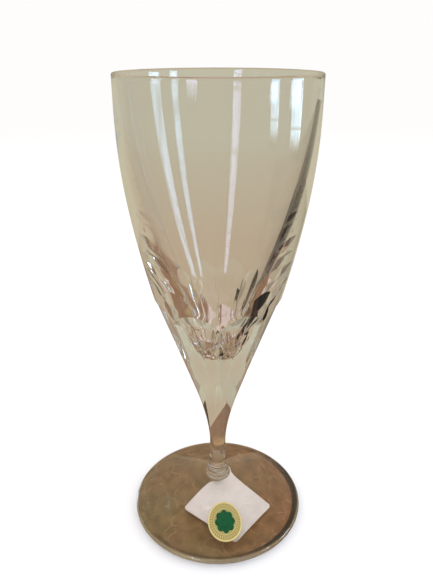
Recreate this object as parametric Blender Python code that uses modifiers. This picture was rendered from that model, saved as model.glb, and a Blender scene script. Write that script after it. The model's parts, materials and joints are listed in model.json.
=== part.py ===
"""Stemmed iced beverage glass in cut crystal.

Four gathers of glass are fused hot, one on the other: the foot, a ringed collar, the stem and the
blown bowl. Arch-topped flutes are then cut from the bowl down onto the stem. A foil seal sits on the
foot and a paper label under it. Lengths are in metres, the glass stands on z = 0, its axis is Z and
its front faces -Y.
"""
import math

import bmesh
import bpy
import numpy as np

# Bowl: a blown tulip, measured up from the seam where it meets the stem
BOWL_HEIGHT = 0.125
RIM_RADIUS = 0.0392
RIM_WALL = 0.0016
RIM_UPRIGHT = 0.0206         # how far the wall stays close to upright below the rim
SHOULDER_HEIGHT = 0.036      # where the tulip turns into the cone over the stem
SHOULDER_RADIUS = 0.0277
SHOULDER_SLOPE = 0.26        # gain of radius with height
SHOULDER_FLARE = 0.0481      # how far the cone's slope carries on up into the tulip
CAVITY_FLOOR = 0.009         # glass under the drink, above the seam
CAVITY_SLOPE = 0.45          # slope of the inside wall beside the shoulder
WELL_FLAT = 0.012            # how far the well's floor runs out before it turns up
WALL_UNDER_FLUTES = 0.0085   # glass left between a flute and the drink at the shoulder

# Stem: solid, from the seam under the bowl down to the collar
STEM_HEIGHT = 0.0578
SEAM_RADIUS = 0.015
SEAM_SLOPE = 0.44
SEAM_SAG = 0.002             # the bowl's base is rounded and sits in a dished stem
STEM_SHANK_REACH = 0.0192    # how far the cone's slope carries on down the stem
WAIST_RADIUS = 0.00375       # the thinnest part of the stem
WAIST_HEIGHT = 0.0161        # above the stem's lower end
WAIST_REACH = 0.0072
STEM_BASE_RADIUS = 0.0044
STEM_BASE_SPREAD = 0.12      # gain of radius downward at the stem's lower end

# Flutes: flat panels that meet in ridges, with round arches at the top and points at the foot
FLUTE_COUNT = 8
FLUTE_TURN = math.radians(1.5)   # the front ridge stands this far towards +X
FLUTE_CUSP_DROP = 0.006      # from the shoulder down to where two arches meet
ARCH_HEIGHT = 0.0065
ARCH_RUN_OUT = 0.0004        # how far the cut carries on past the arch, clear of the glass
RIDGE_CUT = 0.0006           # the most that a ridge lies under the uncut glass
FLUTE_PARTING_DROP = 0.001   # from the seam down to where two flutes part again
POINT_LENGTH = 0.018

# Collar: a small bead above a larger ring
COLLAR_GROOVE = 0.0003       # its core is this much thinner than the stem's lower end
COLLAR_BEAD = 0.0006         # how far the bead stands out from the core
COLLAR_BEAD_HEIGHT = 0.0011
COLLAR_RING = 0.00145
COLLAR_RING_HEIGHT = 0.0019

# Foot: a shallow cone with a rounded edge, hollowed underneath
FOOT_RADIUS = 0.0412
FOOT_HEIGHT = 0.0183
FOOT_EDGE = 0.0036           # thickness of the edge
FOOT_EDGE_ROUND = 0.0024
FOOT_SLOPE_AT_HUB = 0.45     # fall with radius, beside the collar
FOOT_SLOPE_AT_EDGE = 0.43
FOOT_RING = 0.0035           # width of the flat ring that the glass stands on
FOOT_HOLLOW = 0.0022

# Paper label under the foot
LABEL_WIDTH = 0.0301
LABEL_LENGTH = 0.0272
LABEL_CORNER = 0.0016
LABEL_PAPER = 0.0002
LABEL_X = 0.0048
LABEL_Y = -0.0095
LABEL_TURN = math.radians(-39)

# Foil seal on the foot, an oval with its length pointing at the stem
SEAL_WIDTH = 0.016
SEAL_LENGTH = 0.017
SEAL_FOIL = 0.0003
SEAL_INSET = 0.0135          # from the edge of the foot's slope to the seal's centre
SEAL_TURN = math.radians(7.6)    # from the front, towards +X

# Fits
SEAM_GAP = 0.0003            # hairline kept between two fused pieces
GLUE_GAP = 0.0002            # under a sticker
TOOL_MARGIN = 0.004          # how far a cutting tool runs past the glass

# Fineness of the round shapes
TURN_STEPS = 64
COLLAR_STEPS = 40
SEAL_STEPS = 40
CURVE_STEPS = 10             # along each curve of a profile
BEAD_STEPS = 6               # round each half-round edge
DOME_STEPS = 4               # from the edge of the seam to the axis
HOLLOW_STEPS = 6             # from the flat ring under the foot to the axis
ARCH_STEPS = 8               # from the top of an arch to its cusps
RIDGE_STEPS = 14
POINT_STEPS = 6
CORNER_STEPS = 4
MERGE_DISTANCE = 0.00001
SHARP_ANGLE = math.radians(14)

HALF_FLUTE = math.pi / FLUTE_COUNT
COLLAR_CORE = STEM_BASE_RADIUS - COLLAR_GROOVE
COLLAR_HEIGHT = COLLAR_BEAD_HEIGHT + COLLAR_RING_HEIGHT
HUB_RADIUS = COLLAR_CORE + COLLAR_RING
EDGE_RADIUS = FOOT_RADIUS - FOOT_EDGE_ROUND
HOLLOW_RADIUS = EDGE_RADIUS - FOOT_RING
SEAL_REACH = EDGE_RADIUS - SEAL_INSET

# Heights of the pieces' own origins above the table
COLLAR_Z = FOOT_HEIGHT + SEAM_GAP
STEM_Z = COLLAR_Z + COLLAR_HEIGHT + SEAM_GAP
BOWL_Z = STEM_Z + STEM_HEIGHT + SEAM_GAP


def curve(start, start_pull, end_pull, end):
    """Points along a cubic Bezier curve, both ends included."""
    corners = [np.array(corner) for corner in (start, start_pull, end_pull, end)]
    points = []
    for t in np.linspace(0.0, 1.0, CURVE_STEPS + 1):
        weights = ((1 - t) ** 3, 3 * t * (1 - t) ** 2, 3 * t ** 2 * (1 - t), t ** 3)
        point = sum(weight * corner for weight, corner in zip(weights, corners))
        points.append((float(point[0]), float(point[1])))
    return points


def bulge(core, projection, top, bottom):
    """A half-round bead on a core, from its top to its bottom."""
    middle = (top + bottom) / 2
    half_height = (top - bottom) / 2
    angles = np.linspace(0.0, math.pi, BEAD_STEPS + 1)
    return [
        (core + projection * math.sin(angle), middle + half_height * math.cos(angle))
        for angle in angles
    ]


def bowl_outside():
    """The uncut bowl's outer wall, from below the rounded rim down to the seam."""
    rim_z = BOWL_HEIGHT - RIM_WALL / 2
    shoulder = (SHOULDER_RADIUS, SHOULDER_HEIGHT)
    tulip = curve(
        (RIM_RADIUS, rim_z),
        (RIM_RADIUS, rim_z - RIM_UPRIGHT),
        (SHOULDER_RADIUS + SHOULDER_SLOPE * SHOULDER_FLARE, SHOULDER_HEIGHT + SHOULDER_FLARE),
        shoulder,
    )
    third = SHOULDER_HEIGHT / 3
    cone = curve(
        shoulder,
        (SHOULDER_RADIUS - SHOULDER_SLOPE * third, SHOULDER_HEIGHT - third),
        (SEAM_RADIUS + SEAM_SLOPE * third, third),
        (SEAM_RADIUS, 0.0),
    )
    return tulip + cone[1:]


def bowl_inside():
    """The cavity's wall, from the middle of its floor up to below the rounded rim."""
    rim_z = BOWL_HEIGHT - RIM_WALL / 2
    rim_radius = RIM_RADIUS - RIM_WALL
    neck_radius = SHOULDER_RADIUS * math.cos(HALF_FLUTE) - WALL_UNDER_FLUTES
    floor_third = (SHOULDER_HEIGHT - CAVITY_FLOOR) / 3
    wall_third = (rim_z - SHOULDER_HEIGHT) / 3
    well = curve(
        (0.0, CAVITY_FLOOR),
        (WELL_FLAT, CAVITY_FLOOR),
        (neck_radius - CAVITY_SLOPE * floor_third, SHOULDER_HEIGHT - floor_third),
        (neck_radius, SHOULDER_HEIGHT),
    )
    wall = curve(
        (neck_radius, SHOULDER_HEIGHT),
        (neck_radius + CAVITY_SLOPE * wall_third, SHOULDER_HEIGHT + wall_third),
        (rim_radius, rim_z - wall_third),
        (rim_radius, rim_z),
    )
    return well + wall[1:]


def seam_dome():
    """The rounded seat between bowl and stem, from its edge to the axis, with its edge at z = 0."""
    radii = np.linspace(SEAM_RADIUS, 0.0, DOME_STEPS + 1)
    return [(float(r), -SEAM_SAG * (1 - (float(r) / SEAM_RADIUS) ** 2)) for r in radii]


def stem_outside():
    """The uncut stem's outer wall, from the seam down to the collar, with its lower end at z = 0."""
    waist = (WAIST_RADIUS, WAIST_HEIGHT)
    third = WAIST_HEIGHT / 3
    shank = curve(
        (SEAM_RADIUS, STEM_HEIGHT),
        (SEAM_RADIUS - SEAM_SLOPE * STEM_SHANK_REACH, STEM_HEIGHT - STEM_SHANK_REACH),
        (WAIST_RADIUS, WAIST_HEIGHT + WAIST_REACH),
        waist,
    )
    spread = curve(
        waist,
        (WAIST_RADIUS, WAIST_HEIGHT - third),
        (STEM_BASE_RADIUS - STEM_BASE_SPREAD * third, third),
        (STEM_BASE_RADIUS, 0.0),
    )
    return shank + spread[1:]


def foot_top():
    """The foot's upper face, from the hub out to the start of the rounded edge."""
    third = (EDGE_RADIUS - HUB_RADIUS) / 3
    return curve(
        (HUB_RADIUS, FOOT_HEIGHT),
        (HUB_RADIUS + third, FOOT_HEIGHT - FOOT_SLOPE_AT_HUB * third),
        (EDGE_RADIUS - third, FOOT_EDGE + FOOT_SLOPE_AT_EDGE * third),
        (EDGE_RADIUS, FOOT_EDGE),
    )


def foot_hollow():
    """The hollow under the foot, from the flat ring to the axis."""
    radii = np.linspace(HOLLOW_RADIUS, 0.0, HOLLOW_STEPS + 1)
    return [(float(r), FOOT_HOLLOW * (1 - (float(r) / HOLLOW_RADIUS) ** 2)) for r in radii]


def flute_ridges():
    """The line of the ridges, top to bottom, measured from the seam like the bowl.

    A panel's middle lies at cos(HALF_FLUTE) of its ridges, so a ridge line that leaves the uncut glass
    by the factor 1 / cos(HALF_FLUTE) takes the panel out of the glass. Between these the half width
    of a panel, as an angle, follows a parabola at the arch and a straight taper at the point.
    """
    drop = STEM_HEIGHT + SEAM_GAP
    uncut = bowl_outside() + [(radius, height - drop) for radius, height in stem_outside()]
    heights = [height for _, height in reversed(uncut)]
    radii = [radius for radius, _ in reversed(uncut)]
    cusp = SHOULDER_HEIGHT - FLUTE_CUSP_DROP
    parting = -FLUTE_PARTING_DROP
    run_out = cusp + ARCH_HEIGHT + ARCH_RUN_OUT

    def ridge(height, half_angle):
        return float(np.interp(height, heights, radii)) * math.cos(half_angle) / math.cos(HALF_FLUTE)

    line = [(ridge(run_out, 0.0) + ARCH_RUN_OUT, run_out)]
    for share in np.linspace(0.0, 1.0, ARCH_STEPS + 1)[1:-1].tolist():
        height = cusp + ARCH_HEIGHT * (1 - share ** 2)
        line.append((ridge(height, HALF_FLUTE * share), height))
    for share in np.linspace(1.0, 0.0, RIDGE_STEPS + 1).tolist():
        height = parting + share * (cusp - parting)
        line.append((ridge(height, HALF_FLUTE) - RIDGE_CUT * 4 * share * (1 - share), height))
    for share in np.linspace(0.0, 1.0, POINT_STEPS + 1)[1:].tolist():
        height = parting - share * POINT_LENGTH
        line.append((ridge(height, HALF_FLUTE * (1 - share)), height))

    wide = (max(radii) + TOOL_MARGIN) / math.cos(HALF_FLUTE)
    top = [(0.0, BOWL_HEIGHT + TOOL_MARGIN), (wide, BOWL_HEIGHT + TOOL_MARGIN), (wide, line[0][1])]
    slim = (STEM_BASE_RADIUS + TOOL_MARGIN) / math.cos(HALF_FLUTE)
    under = line[-1][1] - POINT_LENGTH / 2
    base = -(drop + TOOL_MARGIN)
    return top + line + [(slim, under), (slim, base), (0.0, base)]


def principled(name, colour, roughness, metallic=0.0, transmission=0.0, ior=1.5):
    """A plain surface of one colour."""
    material = bpy.data.materials.new(name)
    material.use_nodes = True
    shader = material.node_tree.nodes["Principled BSDF"]
    shader.inputs["Base Color"].default_value = (*colour, 1.0)
    shader.inputs["Roughness"].default_value = roughness
    shader.inputs["Metallic"].default_value = metallic
    shader.inputs["Transmission Weight"].default_value = transmission
    shader.inputs["IOR"].default_value = ior
    material.diffuse_color = (*colour, 1.0)
    return material


def turned(name, profile, steps, collection):
    """A solid turned about Z from a profile of (radius, height) points."""
    sketch = bmesh.new()
    points = [sketch.verts.new((radius, 0.0, height)) for radius, height in profile]
    for first, second in zip(points, points[1:]):
        sketch.edges.new((first, second))
    mesh = bpy.data.meshes.new(name)
    sketch.to_mesh(mesh)
    sketch.free()
    piece = bpy.data.objects.new(name, mesh)
    collection.objects.link(piece)
    screw = piece.modifiers.new("Turn", "SCREW")
    screw.steps = steps
    screw.render_steps = steps
    screw.use_merge_vertices = True
    screw.merge_threshold = MERGE_DISTANCE
    return piece


def as_tool(piece):
    """Marks a piece as a cutting tool, which is no part of the glass."""
    piece.hide_render = True
    piece.display_type = "WIRE"
    return piece


def keep_inside(piece, tool):
    """Trims a piece to what lies inside the tool."""
    trim = piece.modifiers.new(tool.name, "BOOLEAN")
    trim.operation = "INTERSECT"
    trim.object = tool


def settle(piece, material, parent):
    """Applies a piece's modifiers, shades it and hangs it on the glass's own empty."""
    bpy.context.view_layer.update()
    evaluated = piece.evaluated_get(bpy.context.evaluated_depsgraph_get())
    mesh = bpy.data.meshes.new_from_object(evaluated)
    piece.modifiers.clear()
    piece.data = mesh
    mesh.shade_smooth()
    mesh.set_sharp_from_angle(angle=SHARP_ANGLE)
    mesh.materials.clear()
    mesh.materials.append(material)
    piece.parent = parent


def make_flute_tool(collection):
    """A many-sided former: what lies inside it is left after the flutes are cut."""
    tool = as_tool(turned("flute_former", flute_ridges(), FLUTE_COUNT, collection))
    tool.location.z = BOWL_Z
    tool.rotation_euler.z = FLUTE_TURN
    return tool


def make_bowl(collection, flute_tool):
    rim_radius = RIM_RADIUS - RIM_WALL / 2
    rim_z = BOWL_HEIGHT - RIM_WALL / 2
    rim = [
        (rim_radius - RIM_WALL / 2 * math.cos(angle), rim_z + RIM_WALL / 2 * math.sin(angle))
        for angle in np.linspace(0.0, math.pi, BEAD_STEPS + 1)[1:-1]
    ]
    profile = bowl_inside() + rim + bowl_outside() + seam_dome()[1:]
    bowl = turned("bowl", profile, TURN_STEPS, collection)
    bowl.location.z = BOWL_Z
    keep_inside(bowl, flute_tool)
    return bowl


def make_stem(collection, flute_tool):
    seat = [(radius, STEM_HEIGHT + height) for radius, height in reversed(seam_dome())]
    profile = seat + stem_outside()[1:] + [(0.0, 0.0)]
    stem = turned("stem", profile, TURN_STEPS, collection)
    stem.location.z = STEM_Z
    keep_inside(stem, flute_tool)
    return stem


def make_collar(collection):
    bead = bulge(COLLAR_CORE, COLLAR_BEAD, COLLAR_HEIGHT, COLLAR_RING_HEIGHT)
    ring = bulge(COLLAR_CORE, COLLAR_RING, COLLAR_RING_HEIGHT, 0.0)
    profile = [(0.0, COLLAR_HEIGHT)] + bead + ring[1:] + [(0.0, 0.0)]
    collar = turned("stem_collar", profile, COLLAR_STEPS, collection)
    collar.location.z = COLLAR_Z
    return collar


def make_foot(collection):
    edge = bulge(EDGE_RADIUS, FOOT_EDGE_ROUND, FOOT_EDGE, 0.0)
    profile = [(0.0, FOOT_HEIGHT)] + foot_top() + edge[1:] + foot_hollow()
    return turned("foot", profile, TURN_STEPS, collection)


def place_punch(name, sketch, collection, x, y, turn):
    """A die that stamps a sticker out of a sheet pressed onto the foot."""
    mesh = bpy.data.meshes.new(name)
    sketch.to_mesh(mesh)
    sketch.free()
    punch = as_tool(bpy.data.objects.new(name, mesh))
    punch.location = (x, y, 0.0)
    punch.rotation_euler.z = turn
    collection.objects.link(punch)
    return punch


def make_label(collection, tools):
    """Paper, with rounded corners, in the hollow of the foot."""
    upper = [(radius, height - GLUE_GAP) for radius, height in foot_hollow()]
    lower = [(radius, height - LABEL_PAPER) for radius, height in upper]
    sheet = turned("paper_label", upper[::-1] + lower, TURN_STEPS, collection)
    sketch = bmesh.new()
    bmesh.ops.create_cube(sketch, size=1.0)
    bmesh.ops.scale(sketch, vec=(LABEL_WIDTH, LABEL_LENGTH, FOOT_HEIGHT), verts=sketch.verts)
    corners = [edge for edge in sketch.edges if edge.verts[0].co.z * edge.verts[1].co.z < 0]
    bmesh.ops.bevel(
        sketch, geom=corners, offset=LABEL_CORNER, affect="EDGES", segments=CORNER_STEPS, profile=0.5
    )
    keep_inside(sheet, place_punch("label_punch", sketch, tools, LABEL_X, LABEL_Y, LABEL_TURN))
    return sheet


def make_seal(collection, tools):
    """Foil, an oval pressed onto the slope of the foot in front of the stem."""
    lower = [(radius, height + GLUE_GAP) for radius, height in foot_top()]
    upper = [(radius, height + SEAL_FOIL) for radius, height in lower]
    sheet = turned("foil_seal", upper + lower[::-1] + upper[:1], TURN_STEPS, collection)
    sketch = bmesh.new()
    tall = 2 * (FOOT_HEIGHT + TOOL_MARGIN)
    bmesh.ops.create_cone(sketch, cap_ends=True, segments=SEAL_STEPS, radius1=0.5, radius2=0.5, depth=1.0)
    bmesh.ops.scale(sketch, vec=(SEAL_WIDTH, SEAL_LENGTH, tall), verts=sketch.verts)
    x = SEAL_REACH * math.sin(SEAL_TURN)
    y = -SEAL_REACH * math.cos(SEAL_TURN)
    keep_inside(sheet, place_punch("seal_punch", sketch, tools, x, y, SEAL_TURN))
    return sheet


def main():
    for leftover in list(bpy.data.objects):
        bpy.data.objects.remove(leftover, do_unlink=True)
    pieces = bpy.data.collections.new("iced_beverage_glass")
    tools = bpy.data.collections.new("cutting_tools")
    for collection in (pieces, tools):
        bpy.context.scene.collection.children.link(collection)
    glass = bpy.data.objects.new("glass_axis", None)
    pieces.objects.link(glass)

    crystal = principled("clear_crystal", (0.90, 0.91, 0.89), 0.02, transmission=1.0, ior=1.54)
    paper = principled("white_paper", (0.80, 0.76, 0.74), 0.75)
    foil = principled("gold_foil", (0.75, 0.55, 0.22), 0.3, metallic=1.0)

    flute_tool = make_flute_tool(tools)
    settle(make_bowl(pieces, flute_tool), crystal, glass)
    settle(make_stem(pieces, flute_tool), crystal, glass)
    settle(make_collar(pieces), crystal, glass)
    settle(make_foot(pieces), crystal, glass)
    settle(make_label(pieces, tools), paper, glass)
    settle(make_seal(pieces, tools), foil, glass)


main()
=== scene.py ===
# Looks of a stemmed iced beverage glass in cut crystal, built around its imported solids
import json
import math

import bmesh
import bpy
import numpy as np
from mathutils import Matrix, Vector, noise

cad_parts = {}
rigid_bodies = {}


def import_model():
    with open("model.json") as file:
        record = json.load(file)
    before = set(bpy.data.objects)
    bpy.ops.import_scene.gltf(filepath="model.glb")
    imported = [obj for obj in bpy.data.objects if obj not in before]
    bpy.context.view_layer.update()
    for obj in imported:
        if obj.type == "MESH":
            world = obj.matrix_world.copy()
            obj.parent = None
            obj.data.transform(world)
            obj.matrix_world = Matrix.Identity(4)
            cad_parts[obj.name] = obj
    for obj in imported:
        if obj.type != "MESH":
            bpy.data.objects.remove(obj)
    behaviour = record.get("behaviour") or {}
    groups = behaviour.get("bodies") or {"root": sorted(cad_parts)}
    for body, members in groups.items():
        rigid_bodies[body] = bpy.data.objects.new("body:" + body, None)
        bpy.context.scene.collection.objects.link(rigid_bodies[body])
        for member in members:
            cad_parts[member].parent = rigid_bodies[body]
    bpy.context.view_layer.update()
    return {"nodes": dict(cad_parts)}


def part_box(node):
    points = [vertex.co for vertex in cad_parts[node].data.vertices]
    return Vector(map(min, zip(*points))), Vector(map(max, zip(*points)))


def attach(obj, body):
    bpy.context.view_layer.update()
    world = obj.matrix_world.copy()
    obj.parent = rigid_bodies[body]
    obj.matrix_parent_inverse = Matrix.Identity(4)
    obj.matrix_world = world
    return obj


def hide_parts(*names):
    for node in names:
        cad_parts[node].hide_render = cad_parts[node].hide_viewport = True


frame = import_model()
print("frame loaded:", sorted(frame["nodes"]))

bowlLow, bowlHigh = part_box("bowl")
collarLow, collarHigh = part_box("stem_collar")
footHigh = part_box("foot")[1]

mergeDistance = 1e-7             # vertices nearer than this become one in a finished piece
spinMerge = 1e-6                 # and these do where a spin closes
onWall = 1e-5                    # a vertex this near the uncut wall belongs to it


def linear(hexColour):
    # sRGB hex to the linear values that shaders take
    parts = [int(hexColour[i:i + 2], 16) / 255 for i in (1, 3, 5)]
    return [p / 12.92 if p <= 0.04045 else ((p + 0.055) / 1.055) ** 2.4 for p in parts] + [1.0]


def addNode(tree, kind, settings=None, links=None):
    # settings go to properties or input sockets, links are input name -> (node, output)
    node = tree.nodes.new("ShaderNode" + kind)
    for key, value in (settings or {}).items():
        if isinstance(key, str) and hasattr(node, key):
            setattr(node, key, value)
        else:
            node.inputs[key].default_value = value
    for socket, (source, output) in (links or {}).items():
        tree.links.new(source.outputs[output], node.inputs[socket])
    return node


def newMaterial(name):
    material = bpy.data.materials.new(name)
    material.use_nodes = True
    tree = material.node_tree
    tree.nodes.clear()
    return material, tree


def newPiece(name, mesh, material, smooth=True):
    # closes, orients and shades a bmesh, and links it as an object at the origin
    bmesh.ops.remove_doubles(mesh, verts=mesh.verts, dist=mergeDistance)
    bmesh.ops.recalc_face_normals(mesh, faces=mesh.faces)
    for face in mesh.faces:
        face.smooth = smooth
    data = bpy.data.meshes.new(name)
    mesh.to_mesh(data)
    mesh.free()
    data.materials.append(material)
    piece = bpy.data.objects.new(name, data)
    bpy.context.scene.collection.objects.link(piece)
    return piece


def curvePoints(start, startPull, endPull, end, steps):
    # a cubic Bezier from start to end as (radius, height) pairs, without its last point
    corners = [np.array(c) for c in (start, startPull, endPull, end)]
    t = np.arange(steps)[:, None] / steps
    line = (1 - t) ** 3 * corners[0] + 3 * t * (1 - t) ** 2 * corners[1]
    line = line + 3 * t ** 2 * (1 - t) * corners[2] + t ** 3 * corners[3]
    return [(float(r), float(z)) for r, z in line]


def beadPoints(core, out, top, bottom, steps):
    # a half-round bead on a core, from its top to its bottom, without its last point
    return [(core + out * math.sin(math.pi * i / steps),
             (top + bottom) / 2 + (top - bottom) / 2 * math.cos(math.pi * i / steps)) for i in range(steps)]


def spinProfile(points, steps, start=0.0):
    # turns (radius, height) pairs once round the axis, from an angle
    mesh = bmesh.new()
    verts = [mesh.verts.new((r * math.cos(start), r * math.sin(start), z)) for r, z in points]
    edges = [mesh.edges.new(pair) for pair in zip(verts, verts[1:])]
    bmesh.ops.spin(mesh, geom=verts + edges, cent=(0, 0, 0), axis=(0, 0, 1), dvec=(0, 0, 0),
                   angle=2 * math.pi, steps=steps, use_merge=True)
    bmesh.ops.remove_doubles(mesh, verts=mesh.verts, dist=spinMerge)
    return mesh


def smoothStep(value, start, end):
    share = min(1.0, max(0.0, (value - start) / (end - start)))
    return share ** 2 * (3 - 2 * share)


# Crystal body: one continuous piece of glass, because fused gathers leave no seam to see
bowl = {
    "wall": 0.0016,              # at the rim
    "rimUpright": 0.0206,
    "shoulder": (0.0277, 0.036),    # radius, height over the seam
    "shoulderSlope": 0.26,
    "shoulderFlare": 0.0481,
    "seamRadius": 0.0150,
    "seamSlope": 0.44,
    "seamSag": 0.002,
    "floor": 0.009,              # glass under the drink
    "wellFlat": 0.012,           # how far the well's floor runs out before it turns up
    "cavitySlope": 0.45,
    "wallUnderFlutes": 0.0085,
}
stem = {
    "shankReach": 0.0192,
    "waist": (0.00375, 0.0161),  # radius, height over the collar
    "waistReach": 0.0072,
    "base": 0.0044,
    "baseSpread": 0.12,
    "groove": 0.0003,
}
flutes = {
    "count": 8,
    "turn": math.radians(1.5),
    "cuspDrop": 0.006,
    "arch": 0.0065,
    "ridgeCut": 0.0006,
    "hollow": 0.0015,            # how far the wheel's round face dips below a flat
    "hollowFade": (0.077, 0.093),  # heights between which the flutes turn from flat to hollow
    "partingDrop": 0.001,
    "point": 0.018,
    "columns": 24,               # per flute, closer together towards the ridges
    "polishedEdge": 0.00014,     # width of the softened edge along an arch
    "bendAbove": 0.006,          # rows bend to the arches from so far over their tops
    "straightDrop": 0.010,       # run level so far under their feet
    "bendBelow": 0.003,          # and bend to the points until so far under their tips
    "rowGap": 0.0002,            # least gap from there to the next row of the plain wall
    "narrowest": 1e-6,           # least half width, as an angle
}
crimps = {                       # the wavy print of the tool that pressed the hot well
    "cells": 4.0,                # noise cells to a radius, so about 25 round the well
    "height": 0.008,             # from one to the next going up
    "depth": 0.0007,
    "fade": (0.114, 0.104),      # heights between which they grow from nothing to their depth
    "eye": 0.005,                # smooth patch in the middle of the well's floor
}
collar = {
    "bead": 0.0006,
    "ring": 0.00145,
    "beadHeight": 0.0011,
    "beadDrop": 0.0001,          # from the collar's top to the bead
    "sunkRows": 3,               # of the ring, which runs on into the foot
}
foot = {
    "edge": 0.0036,
    "edgeRound": 0.0024,
    "slopeAtHub": 0.45,
    "slopeAtEdge": 0.43,
    "ring": 0.0035,
    "lip": 0.0002,               # from the flat ring to the hollow
    "hollow": 0.0022,
}
meshRows = {                     # rows of faces along each stretch of the profile
    "well": 30, "cavity": 44, "rim": 10, "wall": 60, "shoulder": 24, "shank": 40, "stemBase": 16,
    "overArch": 10, "underArch": 12, "overPoint": 34, "underPoint": 8,
    "bead": 10, "ring": 14, "footTop": 30, "footEdge": 14, "hollow": 20,
}

seamZ = bowlLow.z + bowl["seamSag"]
rimZ = bowlHigh.z
rimRadius = bowlHigh.x
footRadius = footHigh.x
footZ = footHigh.z
halfFlute = math.pi / flutes["count"]
cuspZ = seamZ + bowl["shoulder"][1] - flutes["cuspDrop"]
partingZ = seamZ - flutes["partingDrop"]
collarCore = stem["base"] - stem["groove"]
hubRadius = collarCore + collar["ring"]
edgeRadius = footRadius - foot["edgeRound"]
hollowRadius = edgeRadius - foot["ring"]


def outerWall():
    # the uncut outside from under the rim down to the collar
    shoulderR, shoulderZ = bowl["shoulder"][0], seamZ + bowl["shoulder"][1]
    slope, flare = bowl["shoulderSlope"], bowl["shoulderFlare"]
    topZ = rimZ - bowl["wall"] / 2
    line = curvePoints((rimRadius, topZ), (rimRadius, topZ - bowl["rimUpright"]),
                       (shoulderR + slope * flare, shoulderZ + flare), (shoulderR, shoulderZ),
                       meshRows["wall"])
    third = bowl["shoulder"][1] / 3
    seam = (bowl["seamRadius"], seamZ)
    line += curvePoints((shoulderR, shoulderZ), (shoulderR - slope * third, shoulderZ - third),
                        (seam[0] + bowl["seamSlope"] * third, seamZ + third), seam, meshRows["shoulder"])
    reach, waistR, waistZ = stem["shankReach"], stem["waist"][0], collarHigh.z + stem["waist"][1]
    line += curvePoints(seam, (seam[0] - bowl["seamSlope"] * reach, seamZ - reach),
                        (waistR, waistZ + stem["waistReach"]), (waistR, waistZ), meshRows["shank"])
    third = stem["waist"][1] / 3
    line += curvePoints((waistR, waistZ), (waistR, waistZ - third),
                        (stem["base"] - stem["baseSpread"] * third, collarHigh.z + third),
                        (stem["base"], collarHigh.z), meshRows["stemBase"])
    return line


wallLine = outerWall()
wallHeights = [z for _, z in reversed(wallLine)]
wallRadii = [r for r, _ in reversed(wallLine)]


def uncutRadius(z):
    return float(np.interp(z, wallHeights, wallRadii))


def fluteShare(z):
    # half the width of a flute at a height, as a share of its full width
    if z > cuspZ:
        return math.sqrt(1 - min(1.0, (z - cuspZ) / flutes["arch"]))
    if z < partingZ:
        return 1 - min(1.0, (partingZ - z) / flutes["point"])
    return 1.0


def panelRadius(z, local):
    # distance of a flute's face from the axis, at an angle from the flute's middle
    share = fluteShare(z)
    down = min(1.0, max(0.0, (z - partingZ) / (cuspZ - partingZ)))
    edge = (uncutRadius(z) - flutes["ridgeCut"] * 4 * down * (1 - down)) * math.cos(halfFlute * share)
    across = min(1.0, abs(local) / max(flutes["narrowest"], halfFlute * share))
    dip = flutes["hollow"] * smoothStep(z, *flutes["hollowFade"]) * share ** 2 * (1 - across ** 2)
    return (edge - dip) / math.cos(local)


fluteTop = cuspZ + flutes["arch"] + flutes["bendAbove"]
fluteMiddle = cuspZ - flutes["straightDrop"]
fluteLow = partingZ - flutes["point"] - flutes["bendBelow"]
archRow = cuspZ + flutes["arch"] / 2
pointRow = partingZ - flutes["point"] / 2


def footTopLine():
    # the foot's upper side, from the collar out to the edge
    third = (edgeRadius - hubRadius) / 3
    return curvePoints((hubRadius, footZ), (hubRadius + third, footZ - foot["slopeAtHub"] * third),
                       (edgeRadius - third, foot["edge"] + foot["slopeAtEdge"] * third),
                       (edgeRadius, foot["edge"]), meshRows["footTop"])


def hollowHeight(radius):
    return foot["hollow"] * (1 - (radius / hollowRadius) ** 2)


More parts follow.
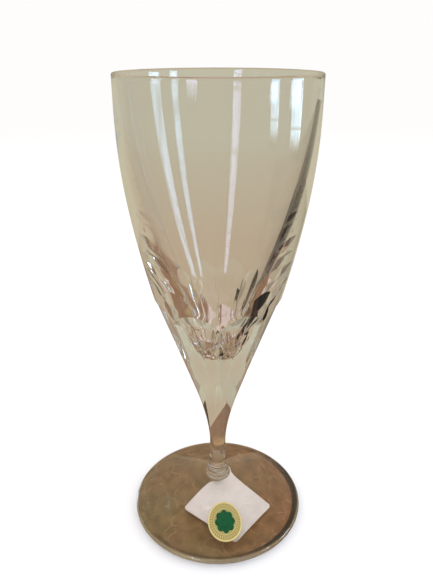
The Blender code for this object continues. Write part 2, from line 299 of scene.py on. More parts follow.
def bodyProfile():
    # from the middle of the cavity floor, over the rim and down the outside to the middle of the base
    half = bowl["wall"] / 2
    topZ = rimZ - half
    neckR = bowl["shoulder"][0] * math.cos(halfFlute) - bowl["wallUnderFlutes"]
    neckZ = seamZ + bowl["shoulder"][1]
    floorZ = seamZ + bowl["floor"]
    slope = bowl["cavitySlope"]
    low, high = (neckZ - floorZ) / 3, (topZ - neckZ) / 3
    innerR = rimRadius - bowl["wall"]
    line = curvePoints((0, floorZ), (bowl["wellFlat"], floorZ),
                       (neckR - slope * low, neckZ - low), (neckR, neckZ), meshRows["well"])
    line += curvePoints((neckR, neckZ), (neckR + slope * high, neckZ + high),
                        (innerR, topZ - high), (innerR, topZ), meshRows["cavity"])
    for i in range(meshRows["rim"]):
        angle = math.pi * i / meshRows["rim"]
        line.append((rimRadius - half - half * math.cos(angle), topZ + half * math.sin(angle)))

    line += [p for p in wallLine if p[1] > fluteTop]
    edge = flutes["polishedEdge"]
    marks = [(fluteTop, meshRows["overArch"]), (archRow + edge, 1), (archRow, 1),
             (archRow - edge, meshRows["underArch"]), (fluteMiddle, meshRows["overPoint"]),
             (pointRow + edge, 1), (pointRow, 1), (pointRow - edge, meshRows["underPoint"]), (fluteLow, 0)]
    for (z, count), (nextZ, _) in zip(marks, marks[1:]):
        line += [(uncutRadius(h), h) for h in np.linspace(z, nextZ, count, endpoint=False)]
    line += [(uncutRadius(fluteLow), fluteLow)]
    line += [p for p in wallLine if p[1] < fluteLow - flutes["rowGap"]]

    beadTop = collarHigh.z - collar["beadDrop"]
    beadLow = collarHigh.z - collar["beadHeight"]
    line += [(stem["base"], collarHigh.z)]
    line += beadPoints(collarCore, collar["bead"], beadTop, beadLow, meshRows["bead"])
    ring = beadPoints(collarCore, collar["ring"], beadLow, collarLow.z, meshRows["ring"])
    line += ring[:-collar["sunkRows"]]
    line += footTopLine()
    line += beadPoints(edgeRadius, foot["edgeRound"], foot["edge"], 0.0, meshRows["footEdge"])
    line += [(edgeRadius, 0.0), (hollowRadius + foot["lip"], 0.0)]
    for i in range(meshRows["hollow"] + 1):
        radius = hollowRadius * (1 - i / meshRows["hollow"])
        line.append((radius, hollowHeight(radius)))
    return line


def crimpWell(mesh):
    # waves on the inside of the well, along the normals that point into the drink
    bmesh.ops.recalc_face_normals(mesh, faces=mesh.faces)
    mesh.normal_update()
    lowest = seamZ + bowl["floor"] / 2
    moved = []
    for vert in mesh.verts:
        radius, z = vert.co.xy.length, vert.co.z
        onOutside = radius > uncutRadius(z) - bowl["wallUnderFlutes"] / 2
        if z < lowest or z > crimps["fade"][0] or onOutside:
            continue
        around = vert.co.xy.normalized() * crimps["cells"]
        place = Vector((around.x, around.y, z / crimps["height"]))
        wave = noise.noise(place) + noise.noise(2 * place) / 4
        grown = smoothStep(z, *crimps["fade"]) * smoothStep(radius, 0, crimps["eye"])
        moved.append((vert, vert.normal * wave * crimps["depth"] * grown))
    for vert, shift in moved:
        vert.co += shift


def bendToFlutes(vert):
    # columns gather at the ridges, rows follow the arches and points, and the flats are pressed in
    x, y, z = vert.co
    radius = math.hypot(x, y)
    if radius < spinMerge:
        return
    angle = math.atan2(y, x) - flutes["turn"]
    panel = math.floor(angle / (2 * halfFlute)) * 2 * halfFlute + halfFlute
    share = max(-1.0, min(1.0, (angle - panel) / halfFlute))
    local = halfFlute * math.sin(share * math.pi / 2)
    if fluteLow < z < fluteTop and abs(radius - uncutRadius(z)) < onWall:
        rel = abs(local) / halfFlute
        archZ = cuspZ + flutes["arch"] * (1 - rel ** 2)
        pointZ = partingZ - flutes["point"] * (1 - rel)
        marks = [fluteLow, pointRow, fluteMiddle, archRow, fluteTop]
        z = float(np.interp(z, marks, [fluteLow, pointZ, fluteMiddle, archZ, fluteTop]))
        radius = uncutRadius(z)
        if pointZ < z < archZ:
            radius = min(radius, panelRadius(z, local))
    angle = panel + local + flutes["turn"]
    vert.co = (radius * math.cos(angle), radius * math.sin(angle), z)


def buildCrystal(material):
    mesh = spinProfile(bodyProfile(), flutes["count"] * flutes["columns"], flutes["turn"])
    crimpWell(mesh)
    for vert in mesh.verts:
        bendToFlutes(vert)
    piece = newPiece("crystal_body", mesh, material)
    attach(piece, "root")
    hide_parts("bowl", "stem", "stem_collar", "foot")
    print("crystal body:", len(piece.data.polygons), "faces")


crystalFinish = {
    "ripple": 0.016,             # from crest to crest of the blown ripple
    "rippleStretch": 0.35,       # crests to a length going up, against those going round
    "rippleDepth": 0.000012,
    "refraction": 1.545,
    "tint": "#f4f6ee",
    "tintDensity": 1.5,
    "wornHeight": 0.0004,        # the ring that rubs on the table
    "scuff": 0.0007,
    "wornRoughness": 0.35,
}


def crystalMaterial():
    # lead crystal, mouth blown and acid polished: colourless and brilliant, with the slow ripple of blown
    # glass on its walls and a dull, rubbed ring where it stands
    material, tree = newMaterial("polishedLeadCrystal")
    coords = addNode(tree, "TexCoord")
    stretch = addNode(tree, "Mapping", {"Scale": (1, 1, crystalFinish["rippleStretch"])},
                      {"Vector": (coords, "Object")})
    ripple = addNode(tree, "TexNoise", {"Scale": 1 / crystalFinish["ripple"], "Detail": 1.0},
                     {"Vector": (stretch, "Vector")})
    blown = addNode(tree, "Bump", {"Strength": 1.0, "Distance": crystalFinish["rippleDepth"]},
                    {"Height": (ripple, "Fac")})
    split = addNode(tree, "SeparateXYZ", {}, {0: (coords, "Object")})
    ground = addNode(tree, "MapRange", {
        "From Min": 0.0, "From Max": crystalFinish["wornHeight"], "To Min": 1.0, "To Max": 0.0},
        {"Value": (split, "Z")})
    scuffs = addNode(tree, "TexNoise", {"Scale": 1 / crystalFinish["scuff"], "Detail": 4.0},
                     {"Vector": (coords, "Object")})
    wear = addNode(tree, "Math", {"operation": "MULTIPLY"}, {0: (ground, "Result"), 1: (scuffs, "Fac")})
    rough = addNode(tree, "MapRange", {"To Min": 0.0, "To Max": crystalFinish["wornRoughness"]},
                    {"Value": (wear, "Value")})
    shader = addNode(tree, "BsdfPrincipled", {
        "Base Color": (1, 1, 1, 1), "IOR": crystalFinish["refraction"], "Transmission Weight": 1.0},
        {"Roughness": (rough, "Result"), "Normal": (blown, "Normal")})
    volume = addNode(tree, "VolumeAbsorption", {
        "Color": linear(crystalFinish["tint"]), "Density": crystalFinish["tintDensity"]})
    addNode(tree, "OutputMaterial", links={"Surface": (shader, "BSDF"), "Volume": (volume, "Volume")})
    return material


buildCrystal(crystalMaterial())


# Paper label in the hollow under the foot
label = {
    "size": (0.0301, 0.0272),
    "corner": 0.0016,
    "cornerSteps": 6,
    "paper": 0.0002,
    "centre": (0.0048, -0.0095),
    "turn": math.radians(-39),
    "glue": 0.0002,
    "cuts": 12,
    "fibre": 0.00035,            # drawn longer than real paper fibres, so that they show
    "fibreStretch": 0.3,
    "mottle": 0.0042,
    "tooth": 0.00004,
    "shades": ("#ece3df", "#fbf5f1"),
}


def paperMaterial():
    # uncoated label paper: dull, faintly pink white, mottled by short fibres
    material, tree = newMaterial("uncoatedLabelPaper")
    coords = addNode(tree, "TexCoord")
    stretch = addNode(tree, "Mapping", {
        "Scale": (1, label["fibreStretch"], 1), "Rotation": (0, 0, label["turn"])},
        {"Vector": (coords, "Object")})
    fibres = addNode(tree, "TexNoise", {"Scale": 1 / label["fibre"], "Detail": 3.0},
                     {"Vector": (stretch, "Vector")})
    mottle = addNode(tree, "TexNoise", {"Scale": 1 / label["mottle"], "Detail": 2.0},
                     {"Vector": (coords, "Object")})
    blend = addNode(tree, "Math", {"operation": "MULTIPLY"}, {0: (fibres, "Fac"), 1: (mottle, "Fac")})
    share = addNode(tree, "MapRange", {"From Min": 0.1, "From Max": 0.45}, {"Value": (blend, "Value")})
    dull, bright = [linear(shade) for shade in label["shades"]]
    colour = addNode(tree, "Mix", {"data_type": "RGBA", 6: dull, 7: bright}, {0: (share, "Result")})
    bump = addNode(tree, "Bump", {"Strength": 0.4, "Distance": label["tooth"]}, {"Height": (fibres, "Fac")})
    shader = addNode(tree, "BsdfPrincipled", {"Roughness": 0.82, "Specular IOR Level": 0.3},
                     {"Base Color": (colour, 2), "Normal": (bump, "Normal")})
    addNode(tree, "OutputMaterial", links={"Surface": (shader, "BSDF")})
    return material


def buildLabel(material):
    mesh = bmesh.new()
    bmesh.ops.create_cube(mesh, size=1.0)
    bmesh.ops.scale(mesh, vec=(*label["size"], label["paper"]), verts=mesh.verts)
    corners = [e for e in mesh.edges if abs(e.verts[0].co.z - e.verts[1].co.z) > label["paper"] / 2]
    bmesh.ops.bevel(mesh, geom=corners, offset=label["corner"], affect="EDGES",
                    segments=label["cornerSteps"], profile=0.5, material=-1)
    for normal, length in zip(((1, 0, 0), (0, 1, 0)), label["size"]):
        for i in range(1, label["cuts"]):
            point = Vector(normal) * length * (i / label["cuts"] - 0.5)
            bmesh.ops.bisect_plane(mesh, geom=mesh.verts[:] + mesh.edges[:] + mesh.faces[:],
                                   plane_co=point, plane_no=normal)
    place = Matrix.Translation((*label["centre"], 0)) @ Matrix.Rotation(label["turn"], 4, "Z")
    bmesh.ops.transform(mesh, matrix=place, verts=mesh.verts)
    for vert in mesh.verts:
        vert.co.z += hollowHeight(vert.co.xy.length) - label["glue"] - label["paper"] / 2
    piece = newPiece("paper_label_sheet", mesh, material, smooth=False)
    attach(piece, "root")
    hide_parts("paper_label")
    print("paper label built")


buildLabel(paperMaterial())

# Foil seal on the foot: a stamped oval with a bead round it, a reeded band and an enamelled rosette
seal = {
    "size": (0.0160, 0.0170),
    "inset": 0.0135,             # from the foot's edge to the seal's centre
    "turn": math.radians(7.6),
    "glue": 0.0002,
    "foil": 0.0003,
    "relief": 0.00022,
    "reeds": 40,
    "columns": 8,                # per reed
    "reedHeight": 0.55,          # as a share of the relief
    "reedSides": 1.1,            # how steep they are: over 0.5, a reed has a flat top
    "underside": 0.995,          # share of the radius, so that the edge is bevelled
    "paintedShine": (1.4, 0.15),        # painted highlight and shade: gain with the relief, and what the hollows lose
    "grain": 0.0005,
    "tooth": 0.00003,
    # the foil's gold, with painted shade in the hollows and a painted highlight on the crests
    "hollowShadeTone": "#a89a58",
    "crestHighlightTone": "#f0e0a0",
}
rosette = {
    "reach": 0.59,               # share of the seal's radius
    "dome": 0.00030,
    "seat": 0.2,                 # share of the relief at which it starts
    "rows": 6,
    "columns": 96,
    "petals": 8,
    "petalDepth": 0.16,
    "pool": 0.0015,              # patches where the enamel ran together
    "tooth": 0.00003,
    "tones": ("#02361f", "#0a5633"),
}
sealRings = [                    # share of the radius, share of the relief, how far the reeds show there
    (0.0, 0.25, 0), (0.30, 0.25, 0), (0.63, 0.25, 0), (0.645, 0.45, 0), (0.665, 0.7, 0), (0.685, 0.45, 0),
    (0.70, 0.1, 0), (0.715, 0.1, 0.3), (0.74, 0.1, 1), (0.79, 0.1, 1), (0.85, 0.1, 1), (0.875, 0.1, 0.3),
    (0.89, 0.1, 0), (0.905, 0.5, 0), (0.925, 0.9, 0), (0.95, 1.0, 0), (0.975, 0.85, 0), (0.995, 0.4, 0)]

footTop = footTopLine() + [(edgeRadius, foot["edge"])]


def footTopHeight(radius):
    return float(np.interp(radius, [r for r, _ in footTop], [z for _, z in footTop]))


def drapeOnFoot(mesh):
    # stretches a unit disc to the oval, carries it to its place and lays it on the foot's slope
    reach = edgeRadius - seal["inset"]
    turn = seal["turn"]
    place = Matrix.Translation((reach * math.sin(turn), -reach * math.cos(turn), 0))
    place = place @ Matrix.Rotation(turn, 4, "Z")
    place = place @ Matrix.Diagonal((seal["size"][0] / 2, seal["size"][1] / 2, 1, 1))
    bmesh.ops.transform(mesh, matrix=place, verts=mesh.verts)
    for vert in mesh.verts:
        vert.co.z += footTopHeight(vert.co.xy.length) + seal["glue"]


def foilMaterial():
    # stamped gold foil: a soft metal gloss, with a painted highlight on what stands up and painted shade,
    # olive, in the hollows
    material, tree = newMaterial("stampedGoldFoil")
    # painted highlight and shade, read from how far the foil stands up
    relief = addNode(tree, "Attribute", {"attribute_name": "relief"})
    coords = addNode(tree, "TexCoord")
    grain = addNode(tree, "TexNoise", {"Scale": 1 / seal["grain"], "Detail": 3.0},
                    {"Vector": (coords, "Object")})
    colour = addNode(tree, "Mix", {
        "data_type": "RGBA", 6: linear(seal["hollowShadeTone"]), 7: linear(seal["crestHighlightTone"])},
        {0: (relief, "Fac")})
    rough = addNode(tree, "MapRange", {"From Min": 0.3, "From Max": 0.7, "To Min": 0.35, "To Max": 0.5},
                    {"Value": (grain, "Fac")})
    bump = addNode(tree, "Bump", {"Strength": 0.25, "Distance": seal["tooth"]}, {"Height": (grain, "Fac")})
    shader = addNode(tree, "BsdfPrincipled", {"Metallic": 0.55}, {
        "Base Color": (colour, 2), "Roughness": (rough, "Result"), "Normal": (bump, "Normal")})
    addNode(tree, "OutputMaterial", links={"Surface": (shader, "BSDF")})
    return material


def enamelMaterial():
    # fired green enamel: deep, glossy, slightly uneven where it pooled
    material, tree = newMaterial("firedGreenEnamel")
    coords = addNode(tree, "TexCoord")
    pool = addNode(tree, "TexNoise", {"Scale": 1 / rosette["pool"], "Detail": 2.0},
                   {"Vector": (coords, "Object")})
    deep, thin = [linear(tone) for tone in rosette["tones"]]
    colour = addNode(tree, "Mix", {"data_type": "RGBA", 6: deep, 7: thin}, {0: (pool, "Fac")})
    bump = addNode(tree, "Bump", {"Strength": 0.3, "Distance": rosette["tooth"]}, {"Height": (pool, "Fac")})
    shader = addNode(tree, "BsdfPrincipled", {
        "Roughness": 0.2, "Coat Weight": 0.6, "Coat Roughness": 0.05},
        {"Base Color": (colour, 2), "Normal": (bump, "Normal")})
    addNode(tree, "OutputMaterial", links={"Surface": (shader, "BSDF")})
    return material


def buildSeal(material):
    relief = seal["relief"]
    top = [(r, seal["foil"] + h * relief) for r, h, _ in sealRings]
    under = [(1.0, seal["foil"]), (seal["underside"], 0), (0.0, 0)]
    mesh = spinProfile(top + under, seal["reeds"] * seal["columns"])
    for vert in mesh.verts:
        if vert.co.z > seal["foil"] / 2:
            wave = math.cos(seal["reeds"] * math.atan2(vert.co.y, vert.co.x))
            reed = np.interp(vert.co.xy.length, [r for r, _, _ in sealRings], [s for _, _, s in sealRings])
            crest = max(0.0, min(1.0, 0.5 + seal["reedSides"] * wave))
            vert.co.z += relief * seal["reedHeight"] * reed * crest
    # painted light: how far each vertex stands up lightens the foil's colour on the crests and darkens it in
    # the hollows
    layer = mesh.verts.layers.float.new("relief")
    gain, loss = seal["paintedShine"]
    for vert in mesh.verts:
        rise = (vert.co.z - seal["foil"]) / relief
        vert[layer] = max(0.0, min(1.0, rise * gain - loss))
    drapeOnFoot(mesh)
    piece = newPiece("foil_seal_stamping", mesh, material)
    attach(piece, "root")
    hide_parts("foil_seal")
    print("foil seal built")


def buildRosette(material):
    base = seal["foil"] + rosette["seat"] * seal["relief"]
    arc = [(rosette["reach"] * math.cos(a), base + rosette["dome"] * math.sin(a))
           for a in np.linspace(math.pi / 2, 0, rosette["rows"] + 1)]
    mesh = spinProfile(arc + [(0.0, base)], rosette["columns"])
    for vert in mesh.verts:
        angle = math.atan2(vert.co.y, vert.co.x)
        lobe = 1 - rosette["petalDepth"] * (1 - abs(math.cos(rosette["petals"] * angle / 2)))
        vert.co.x *= lobe
        vert.co.y *= lobe
    drapeOnFoot(mesh)
    piece = newPiece("seal_enamel_rosette", mesh, material)
    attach(piece, "root")
    print("enamel rosette built")


buildSeal(foilMaterial())
buildRosette(enamelMaterial())

# Floor, light and camera
studio = {
    "floor": "#d0d2d5",          # paper of the sweep
    "backdrop": "#fefdfc",       # what the sweep runs out into
    "fadeRadii": (0.5, 1.6),
    "floorSize": 8.0,
    "floorHeight": -0.0006,      # under the cards, which lie under the glass
    "fill": "#fffaf6",           # light from all round
    "fillLevel": 1.74,
}
room = {                         # what the glass shows instead: a warm room, a little lighter on the right
    "walls": {"back": "#a89c8a", "right": "#a8957f", "left": "#8f8578"},
    "floor": {"back": "#bfad93", "right": "#a08a72", "left": "#8c7f72"},
    "farFloor": "#c3bfa9",
    "farRadii": (0.2, 0.75),
    "ceiling": "#6b5a42",
    "deep": {"right": "#94765c", "left": "#6a564a"},    # what many turns inside the glass leave of it
    "deepBack": {"right": "#8a7868", "left": "#b0957a"},
    "deepWalls": {"right": "#b5a88a", "left": "#8f8470"},
    "deepTurns": (4.5, 7.5),
    "deepest": "#c9bea5",        # and what runs along inside a wall, as in the rim
    "deepestTurns": (10, 13),
    "backEdge": (0.25, 0.65),    # northing at which the front of the room gives way to the back
    "sideEdge": (-0.35, 0.35),
    "ceilingEdge": (0.42, 0.75),
}
windows = [                      # name, bearing from the front in degrees, width, lowest and highest edge,
    # radiance, tone of the sky and of the garden
    ("windowRight", 87, 0.125, 0.062, 0.235, 13, "#b8d8ff", "#c2e2f4"),
    ("windowRightFront", 58, 0.075, 0.078, 0.250, 13, "#b8d8ff", "#c2e2f4"),
    ("windowLeftFront", -25.5, 0.085, 0.150, 0.275, 11, "#ccdbff", "#d6d4ff"),
]
pane = {
    "distance": 0.46,            # from the glass
    "bars": 3,                   # rows of panes
    "barWidth": 0.03,            # as a share of the height
    "barLevel": 0.45,            # light that the net curtain spreads over a bar
    "folds": 9,                  # of the net curtain, across a window
    "foldLength": 1.2,
    "shrubs": 0.22,              # how far the garden's shrubs reach up, as a share of the height
    "twigs": 3.0,                # to a fold
    "deepTurns": (4.5, 8),       # turns inside the glass over which the light fades
    "deepLevel": 0.06,
}
mat = {
    "size": (0.354, 0.58),
    "centre": (-0.080, -0.003),
    "turn": math.radians(40.5),
    "height": -0.0004,
    "drift": 0.030,              # patches of brown and olive
    "mottle": 0.006,
    "mottleLevel": 0.6,
    "creases": 0.010,            # from one to the next
    "creaseWidth": 0.05,         # as a share of that
    "creaseLevel": 0.75,
    "wander": 0.008,             # bends of the creases
    "wanderReach": 0.012,
    "olive": "#877d52",
    "brown": "#985f39",
    "browner": 6.0,              # gain of brown for each metre to the right
    "creaseTone": "#b8946c",
    # painted shadow of the foot's ring on the leather: its strength, tone, side, spread and edge
    "shade": 0.95,
    "paintedShadowTone": "#2e2614",
    "paintedShadowSide": (0.82, -0.57, 0),    # painted shadow: the foot's ring shades the leather on this side, drawn into its colour
    "paintedShadowSpan": (-0.4, 0.5),    # from none to all of it, in shares of the foot's radius
    "paintedShadowEdge": (0.0008, 0.0022),    # past the hollow under the foot
    "pastFootShadeTone": "#74553a",
    "pastFootShadeEdge": (0.010, 0.03),  # painted shade on the leather past the foot, growing over these distances
    "reach": (0.155, 0.180),     # the bowl's double wall shows no more of it than this
    "corner": (-0.035, 0.10),    # and behind these, a corner painted as a pale pink glow
    "cornerSoft": 0.01,
    "cornerGlowTones": ("#cdb5a6", "#e6d4ce"),
    "bowlTurns": 2.5,            # light that has turned more often than this came through the bowl
}
darkCard = {"size": (0.30, 0.45), "centre": (0.2826, 0.1372), "turn": math.radians(-25.9), "height": -0.0002}
farCard = {"size": (0.30, 0.55), "centre": (0.5010, 0.5870), "turn": math.radians(-25.9), "height": -0.0002}
cardFinish = {"grain": 0.02, "tones": ("#0e0b0b", "#2c2523")}


def sideTone(tree, split, tones):
    # from the room's left to its right
    start, end = room["sideEdge"]
    side = addNode(tree, "MapRange", {
        "interpolation_type": "SMOOTHSTEP", "From Min": start, "From Max": end}, {"Value": (split, "X")})
    return addNode(tree, "Mix", {
        "data_type": "RGBA", 6: linear(tones["left"]), 7: linear(tones["right"])}, {0: (side, "Result")})


def deepTone(tree, vector, near, sides, backs):
    # light that has turned many times inside the glass keeps only the tone of its side of the room
    split = addNode(tree, "SeparateXYZ", {}, {0: vector})
    path = addNode(tree, "LightPath")
    turns, manyTurns = [addNode(tree, "MapRange", {"From Min": room[key][0], "From Max": room[key][1]},
                                {"Value": (path, "Ray Depth")}) for key in ("deepTurns", "deepestTurns")]
    start, end = room["backEdge"]
    back = addNode(tree, "MapRange", {
        "interpolation_type": "SMOOTHSTEP", "From Min": start, "From Max": end}, {"Value": (split, "Y")})
    deep = addNode(tree, "Mix", {"data_type": "RGBA"}, {
        0: (back, "Result"), 6: (sideTone(tree, split, sides), 2), 7: (sideTone(tree, split, backs), 2)})
    turned = addNode(tree, "Mix", {"data_type": "RGBA"}, {0: (turns, "Result"), 6: near, 7: (deep, 2)})
    return addNode(tree, "Mix", {"data_type": "RGBA", 7: linear(room["deepest"])},
                   {0: (manyTurns, "Result"), 6: (turned, 2)})


def roomColour(tree, vector, tones, sides, backs, far=None):
    # the room's tone in the direction of a vector that points away from the glass
    split = addNode(tree, "SeparateXYZ", {}, {0: vector})
    back, high = [addNode(tree, "MapRange", {
        "interpolation_type": "SMOOTHSTEP", "From Min": room[edge][0], "From Max": room[edge][1]},
        {"Value": (split, axis)}) for edge, axis in (("backEdge", "Y"), ("ceilingEdge", "Z"))]
    behind = {7: far} if far else {}
    walls = addNode(tree, "Mix", {"data_type": "RGBA", 7: linear(tones["back"])},
                    {0: (back, "Result"), 6: (sideTone(tree, split, tones), 2), **behind})
    covered = addNode(tree, "Mix", {"data_type": "RGBA", 7: linear(room["ceiling"])},
                      {0: (high, "Result"), 6: (walls, 2)})
    return deepTone(tree, vector, (covered, 2), sides, backs)


def floorMaterial():
    # matt paper sweep: pale to the eye, with the tones of a room where it shows in the glass
    material, tree = newMaterial("mattPaperSweep")
    coords = addNode(tree, "TexCoord")
    radius = addNode(tree, "VectorMath", {"operation": "LENGTH"}, {0: (coords, "Object")})
    start, end = studio["fadeRadii"]
    fade = addNode(tree, "MapRange", {
        "interpolation_type": "SMOOTHSTEP", "From Min": start, "From Max": end}, {"Value": (radius, "Value")})
    paper = addNode(tree, "BsdfPrincipled", {
        "Base Color": linear(studio["floor"]), "Roughness": 0.95, "Specular IOR Level": 0.1})
    sweep = addNode(tree, "Emission", {"Color": linear(studio["backdrop"])})
    seen = addNode(tree, "MixShader", {}, {0: (fade, "Result"), 1: (paper, "BSDF"), 2: (sweep, "Emission")})
    outward = addNode(tree, "VectorMath", {"operation": "NORMALIZE"}, {0: (coords, "Object")})
    start, end = room["farRadii"]
    distance = addNode(tree, "MapRange", {"From Min": start, "From Max": end}, {"Value": (radius, "Value")})
    recede = addNode(tree, "Mix", {
        "data_type": "RGBA", 6: linear(room["floor"]["back"]), 7: linear(room["farFloor"])},
        {0: (distance, "Result")})
    tone = roomColour(tree, (outward, "Vector"), room["floor"], room["deep"], room["deepBack"], (recede, 2))
    inGlass = addNode(tree, "Emission", {}, {"Color": (tone, 2)})
    path = addNode(tree, "LightPath")
    mixed = addNode(tree, "MixShader", {},
                    {0: (path, "Is Camera Ray"), 1: (inGlass, "Emission"), 2: (seen, "Shader")})
    addNode(tree, "OutputMaterial", links={"Surface": (mixed, "Shader")})
    return material


def buildFloor():
    mesh = bmesh.new()
    bmesh.ops.create_grid(mesh, x_segments=1, y_segments=1, size=studio["floorSize"] / 2)
    floor = newPiece("floor", mesh, floorMaterial(), smooth=False)
    floor.location.z = studio["floorHeight"]


def leatherColour(tree, coords):
    # mottled brown, drifting to olive, with paler creases
    place = {"Vector": (coords, "Object")}
    drift = addNode(tree, "TexNoise", {"Scale": 1 / mat["drift"], "Detail": 3.0}, place)
    mottle = addNode(tree, "TexNoise", {"Scale": 1 / mat["mottle"], "Detail": 4.0}, place)
    wander = addNode(tree, "TexNoise", {"Scale": 1 / mat["wander"], "Detail": 3.0}, place)
    reach = (mat["wanderReach"], mat["wanderReach"], 0)
    bent = addNode(tree, "VectorMath", {"operation": "MULTIPLY_ADD", 1: reach},
                   {0: (wander, "Color"), 2: (coords, "Object")})
    creases = addNode(tree, "TexVoronoi", {"feature": "DISTANCE_TO_EDGE", "Scale": 1 / mat["creases"]},
                      {"Vector": (bent, "Vector")})
    across = addNode(tree, "SeparateXYZ", {}, {0: (coords, "Object")})
    redder = addNode(tree, "Math", {"operation": "MULTIPLY_ADD", 1: mat["browner"]},
                     {0: (across, "X"), 2: (drift, "Fac")})
    base = addNode(tree, "Mix", {"data_type": "RGBA", 6: linear(mat["olive"]), 7: linear(mat["brown"])},
                   {0: (redder, "Value")})
    shade = addNode(tree, "Mix", {"data_type": "RGBA", "blend_type": "OVERLAY", 0: mat["mottleLevel"]},
                    {6: (base, 2), 7: (mottle, "Fac")})
    line = addNode(tree, "MapRange", {
        "From Min": 0.0, "From Max": mat["creaseWidth"], "To Min": mat["creaseLevel"], "To Max": 0.0},
        {"Value": (creases, "Distance")})
    patches = addNode(tree, "MapRange", {"From Min": 0.42, "From Max": 0.62}, {"Value": (wander, "Fac")})
    faint = addNode(tree, "Math", {"operation": "MULTIPLY"}, {0: (line, "Result"), 1: (patches, "Result")})
    veined = addNode(tree, "Mix", {"data_type": "RGBA", 7: linear(mat["creaseTone"])},
                     {0: (faint, "Value"), 6: (shade, 2)})
    return veined, mottle, across


def matMaterial():
    # tanned leather, with a painted shadow under the foot's ring on one side, painted shade past the foot,
    # and one corner painted as a pale pink glow
    material, tree = newMaterial("tannedLeather")
    coords = addNode(tree, "TexCoord")
    veined, mottle, across = leatherColour(tree, coords)
    radius = addNode(tree, "VectorMath", {"operation": "LENGTH"}, {0: (coords, "Object")})
    # painted shade: the leather darkens past the foot
    start, end = [footRadius + edge for edge in mat["pastFootShadeEdge"]]
    pastFootShade = addNode(tree, "MapRange", {"From Min": start, "From Max": end}, {"Value": (radius, "Value")})
    # painted shadow of the foot's ring, on one side, from just past the hollow under the foot
    around = addNode(tree, "VectorMath", {"operation": "DOT_PRODUCT", 1: mat["paintedShadowSide"]},
                     {0: (coords, "Object")})
    start, end = [share * footRadius for share in mat["paintedShadowSpan"]]
    side = addNode(tree, "MapRange", {
        "From Min": start, "From Max": end, "To Min": 0.0, "To Max": mat["shade"]},
        {"Value": (around, "Value")})
    start, end = [hollowRadius + edge for edge in mat["paintedShadowEdge"]]
    ring = addNode(tree, "MapRange", {
        "interpolation_type": "SMOOTHSTEP", "From Min": start, "From Max": end}, {"Value": (radius, "Value")})
    shadow = addNode(tree, "Math", {"operation": "MULTIPLY"}, {0: (side, "Result"), 1: (ring, "Result")})
    shaded = addNode(tree, "Mix", {"data_type": "RGBA", 7: linear(mat["paintedShadowTone"])},
                     {0: (shadow, "Value"), 6: (veined, 2)})
    colour = addNode(tree, "Mix", {"data_type": "RGBA", 7: linear(mat["pastFootShadeTone"])},
                     {0: (pastFootShade, "Result"), 6: (shaded, 2)})
    leather = addNode(tree, "BsdfPrincipled", {"Roughness": 0.7}, {"Base Color": (colour, 2)})

    path = addNode(tree, "LightPath")
    cornerX, cornerY = mat["corner"]
    soft = mat["cornerSoft"]
    edges = ((*mat["reach"], (radius, "Value")), (cornerX - soft, cornerX + soft, (across, "X")),
             (cornerY - soft, cornerY + soft, (across, "Y")))
    beyond, rightward, behind = [addNode(tree, "MapRange", {
        "interpolation_type": "SMOOTHSTEP", "From Min": start, "From Max": end}, {"Value": source})
        for start, end, source in edges]
    corner = addNode(tree, "Math", {"operation": "MULTIPLY"},
                     {0: (rightward, "Result"), 1: (behind, "Result")})
    turned = addNode(tree, "Math", {"operation": "GREATER_THAN", 1: mat["bowlTurns"]},
                     {0: (path, "Ray Depth")})
    cornerGlowMask, hidden = [addNode(tree, "Math", {"operation": "MULTIPLY"}, {0: part, 1: (turned, "Value")})
                    for part in ((corner, "Value"), (beyond, "Result"))]
    # painted glow: pale pink emission in place of the leather at that corner
    dull, pale = [linear(tone) for tone in mat["cornerGlowTones"]]
    cornerGlowColour = addNode(tree, "Mix", {"data_type": "RGBA", 6: dull, 7: pale}, {0: (mottle, "Fac")})
    cornerGlow = addNode(tree, "Emission", {}, {"Color": (cornerGlowColour, 2)})
    hide = addNode(tree, "MixShader", {}, {0: (cornerGlowMask, "Value"), 1: (leather, "BSDF"), 2: (cornerGlow, "Emission")})
    clear = addNode(tree, "BsdfTransparent")
    shader = addNode(tree, "MixShader", {}, {0: (hidden, "Value"), 1: (hide, "Shader"), 2: (clear, "BSDF")})
    addNode(tree, "OutputMaterial", links={"Surface": (shader, "Shader")})
    return material


def darkMaterial(name, turns):
    # matt black-brown card, left out of light that has turned fewer times than this in the glass
    material, tree = newMaterial(name)
    coords = addNode(tree, "TexCoord")
    outward = addNode(tree, "VectorMath", {"operation": "NORMALIZE"}, {0: (coords, "Object")})
    grain = addNode(tree, "TexNoise", {"Scale": 1 / cardFinish["grain"], "Detail": 3.0},
                    {"Vector": (coords, "Object")})
    black, brown = [linear(tone) for tone in cardFinish["tones"]]
    shade = addNode(tree, "Mix", {"data_type": "RGBA", 6: black, 7: brown}, {0: (grain, "Fac")})
    tone = deepTone(tree, (outward, "Vector"), (shade, 2), room["deep"], room["deepBack"])
    card = addNode(tree, "Emission", {}, {"Color": (tone, 2)})
    path = addNode(tree, "LightPath")
    seen = addNode(tree, "Math", {"operation": "GREATER_THAN", 1: turns - 0.5}, {0: (path, "Ray Depth")})
    clear = addNode(tree, "BsdfTransparent")
    shader = addNode(tree, "MixShader", {}, {0: (seen, "Value"), 1: (clear, "BSDF"), 2: (card, "Emission")})
    addNode(tree, "OutputMaterial", links={"Surface": (shader, "Shader")})
    return material


def layCard(name, settings, material):
    # a card flat on the floor, which only shows where the glass bends the view towards it
    mesh = bmesh.new()
    bmesh.ops.create_grid(mesh, x_segments=1, y_segments=1, size=0.5)
    bmesh.ops.scale(mesh, vec=(*settings["size"], 1), verts=mesh.verts)
    place = Matrix.Translation((*settings["centre"], settings["height"]))
    place = place @ Matrix.Rotation(settings["turn"], 4, "Z")
    bmesh.ops.transform(mesh, matrix=place, verts=mesh.verts)
    card = newPiece(name, mesh, material, smooth=False)
    card.visible_camera = False
    card.visible_diffuse = False
    card.visible_shadow = False


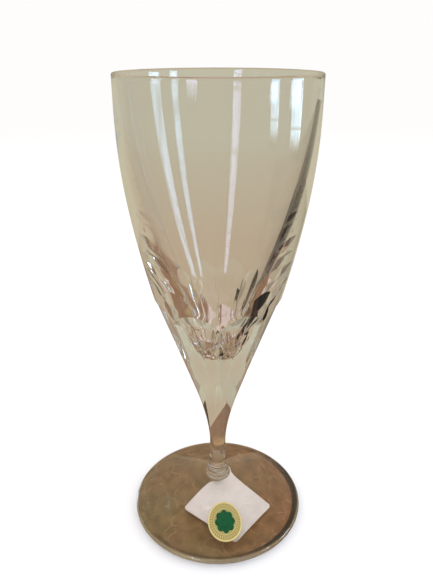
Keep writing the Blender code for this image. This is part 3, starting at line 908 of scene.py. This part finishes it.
def paneMaterial(name, radiance, sky, garden):
    # daylight through a net curtain: bluish sky above, a garden below, glazing bars and soft folds
    material, tree = newMaterial(name + "Daylight")
    coords = addNode(tree, "TexCoord")
    split = addNode(tree, "SeparateXYZ", {}, {0: (coords, "UV")})
    colour = addNode(tree, "Mix", {"data_type": "RGBA", 6: linear(garden), 7: linear(sky)}, {0: (split, "Y")})
    rows = addNode(tree, "Math", {"operation": "MULTIPLY", 1: pane["bars"]}, {0: (split, "Y")})
    bar = addNode(tree, "Math", {"operation": "PINGPONG", 1: 0.5}, {0: (rows, "Value")})
    barred = addNode(tree, "MapRange", {
        "From Min": 0.0, "From Max": pane["bars"] * pane["barWidth"],
        "To Min": pane["barLevel"], "To Max": 1.0}, {"Value": (bar, "Value")})
    stretch = addNode(tree, "Mapping", {"Scale": (pane["folds"], pane["foldLength"], 1)},
                      {"Vector": (coords, "UV")})
    folds = addNode(tree, "TexNoise", {"Scale": 1.0, "Detail": 2.0}, {"Vector": (stretch, "Vector")})
    folded = addNode(tree, "MapRange", {"From Min": 0.35, "From Max": 0.62, "To Min": 0.35, "To Max": 1.1},
                     {"Value": (folds, "Fac")})
    twigs = addNode(tree, "TexNoise", {"Scale": pane["twigs"], "Detail": 4.0},
                    {"Vector": (stretch, "Vector")})
    above = addNode(tree, "Math", {"operation": "MULTIPLY_ADD", 1: -2 * pane["shrubs"]},
                    {0: (twigs, "Fac"), 2: (split, "Y")})
    clear = addNode(tree, "MapRange", {"From Min": -pane["shrubs"] / 2, "From Max": pane["shrubs"] / 4},
                    {"Value": (above, "Value")})
    path = addNode(tree, "LightPath")
    start, end = pane["deepTurns"]
    strength = addNode(tree, "MapRange", {
        "From Min": start, "From Max": end, "To Min": radiance, "To Max": radiance * pane["deepLevel"]},
        {"Value": (path, "Ray Depth")})
    level = (strength, "Result")
    for share in (barred, folded, clear):
        level = (addNode(tree, "Math", {"operation": "MULTIPLY"}, {0: level, 1: (share, "Result")}), "Value")
    glow = addNode(tree, "Emission", {}, {"Color": (colour, 2), "Strength": level})
    addNode(tree, "OutputMaterial", links={"Surface": (glow, "Emission")})
    return material


def addWindow(name, bearing, width, low, high, radiance, sky, garden):
    mesh = bmesh.new()
    mesh.loops.layers.uv.new("pane")
    bmesh.ops.create_grid(mesh, x_segments=1, y_segments=1, size=0.5, calc_uvs=True)
    bmesh.ops.scale(mesh, vec=(width, high - low, 1), verts=mesh.verts)
    turn = math.radians(bearing)
    away = pane["distance"]
    place = Matrix.Translation((away * math.sin(turn), -away * math.cos(turn), (low + high) / 2))
    place = place @ Matrix.Rotation(turn, 4, "Z") @ Matrix.Rotation(math.radians(90), 4, "X")
    bmesh.ops.transform(mesh, matrix=place, verts=mesh.verts)
    window = newPiece(name, mesh, paneMaterial(name, radiance, sky, garden), smooth=False)
    window.visible_camera = False


def buildWorld():
    # the camera sees the backdrop, plain surfaces get the fill light, and the glass shows a warm room
    world = bpy.data.worlds.new("studioRoom")
    bpy.context.scene.world = world
    world.use_nodes = True
    world.cycles.sampling_method = "NONE"
    tree = world.node_tree
    tree.nodes.clear()
    coords = addNode(tree, "TexCoord")
    path = addNode(tree, "LightPath")
    walls = roomColour(tree, (coords, "Generated"), room["walls"], room["deepWalls"], room["deepWalls"])
    fill = [c * studio["fillLevel"] for c in linear(studio["fill"])[:3]] + [1.0]
    filled = addNode(tree, "Mix", {"data_type": "RGBA", 7: fill}, {0: (path, "Diffuse Depth"), 6: (walls, 2)})
    seen = addNode(tree, "Mix", {"data_type": "RGBA", 7: linear(studio["backdrop"])},
                   {0: (path, "Is Camera Ray"), 6: (filled, 2)})
    background = addNode(tree, "Background", {"Strength": 1.0}, {"Color": (seen, 2)})
    addNode(tree, "OutputWorld", links={"Surface": (background, "Background")})


buildFloor()
layCard("leatherMat", mat, matMaterial())
layCard("darkCard", darkCard, darkMaterial("darkCard", 1))
layCard("farCard", farCard, darkMaterial("farCard", 3))
for settings in windows:
    addWindow(*settings)
buildWorld()
bpy.context.scene.view_settings.view_transform = "Standard"
bounces = 96                     # cut glass throws light about inside itself many times
cycles = bpy.context.scene.cycles
cycles.max_bounces = bounces
cycles.glossy_bounces = bounces
cycles.transmission_bounces = bounces

cameraSettings = {
    "place": (-0.0006, -0.223, 0.2143),
    "pitch": 23.45,              # degrees below level
    "focal": 563.5,              # in pixels of the frame
    "frame": (433, 577),
    "sensor": 36,
    "nearest": 0.01,
}
cameraData = bpy.data.cameras.new("photoCamera")
cameraData.sensor_width = cameraSettings["sensor"]
cameraData.lens = cameraSettings["sensor"] * cameraSettings["focal"] / max(cameraSettings["frame"])
cameraData.clip_start = cameraSettings["nearest"]
camera = bpy.data.objects.new("photoCamera", cameraData)
camera.location = cameraSettings["place"]
camera.rotation_euler = (math.radians(90 - cameraSettings["pitch"]), 0, 0)
bpy.context.scene.collection.objects.link(camera)
bpy.context.scene.camera = camera
print("stage, lights and camera set")
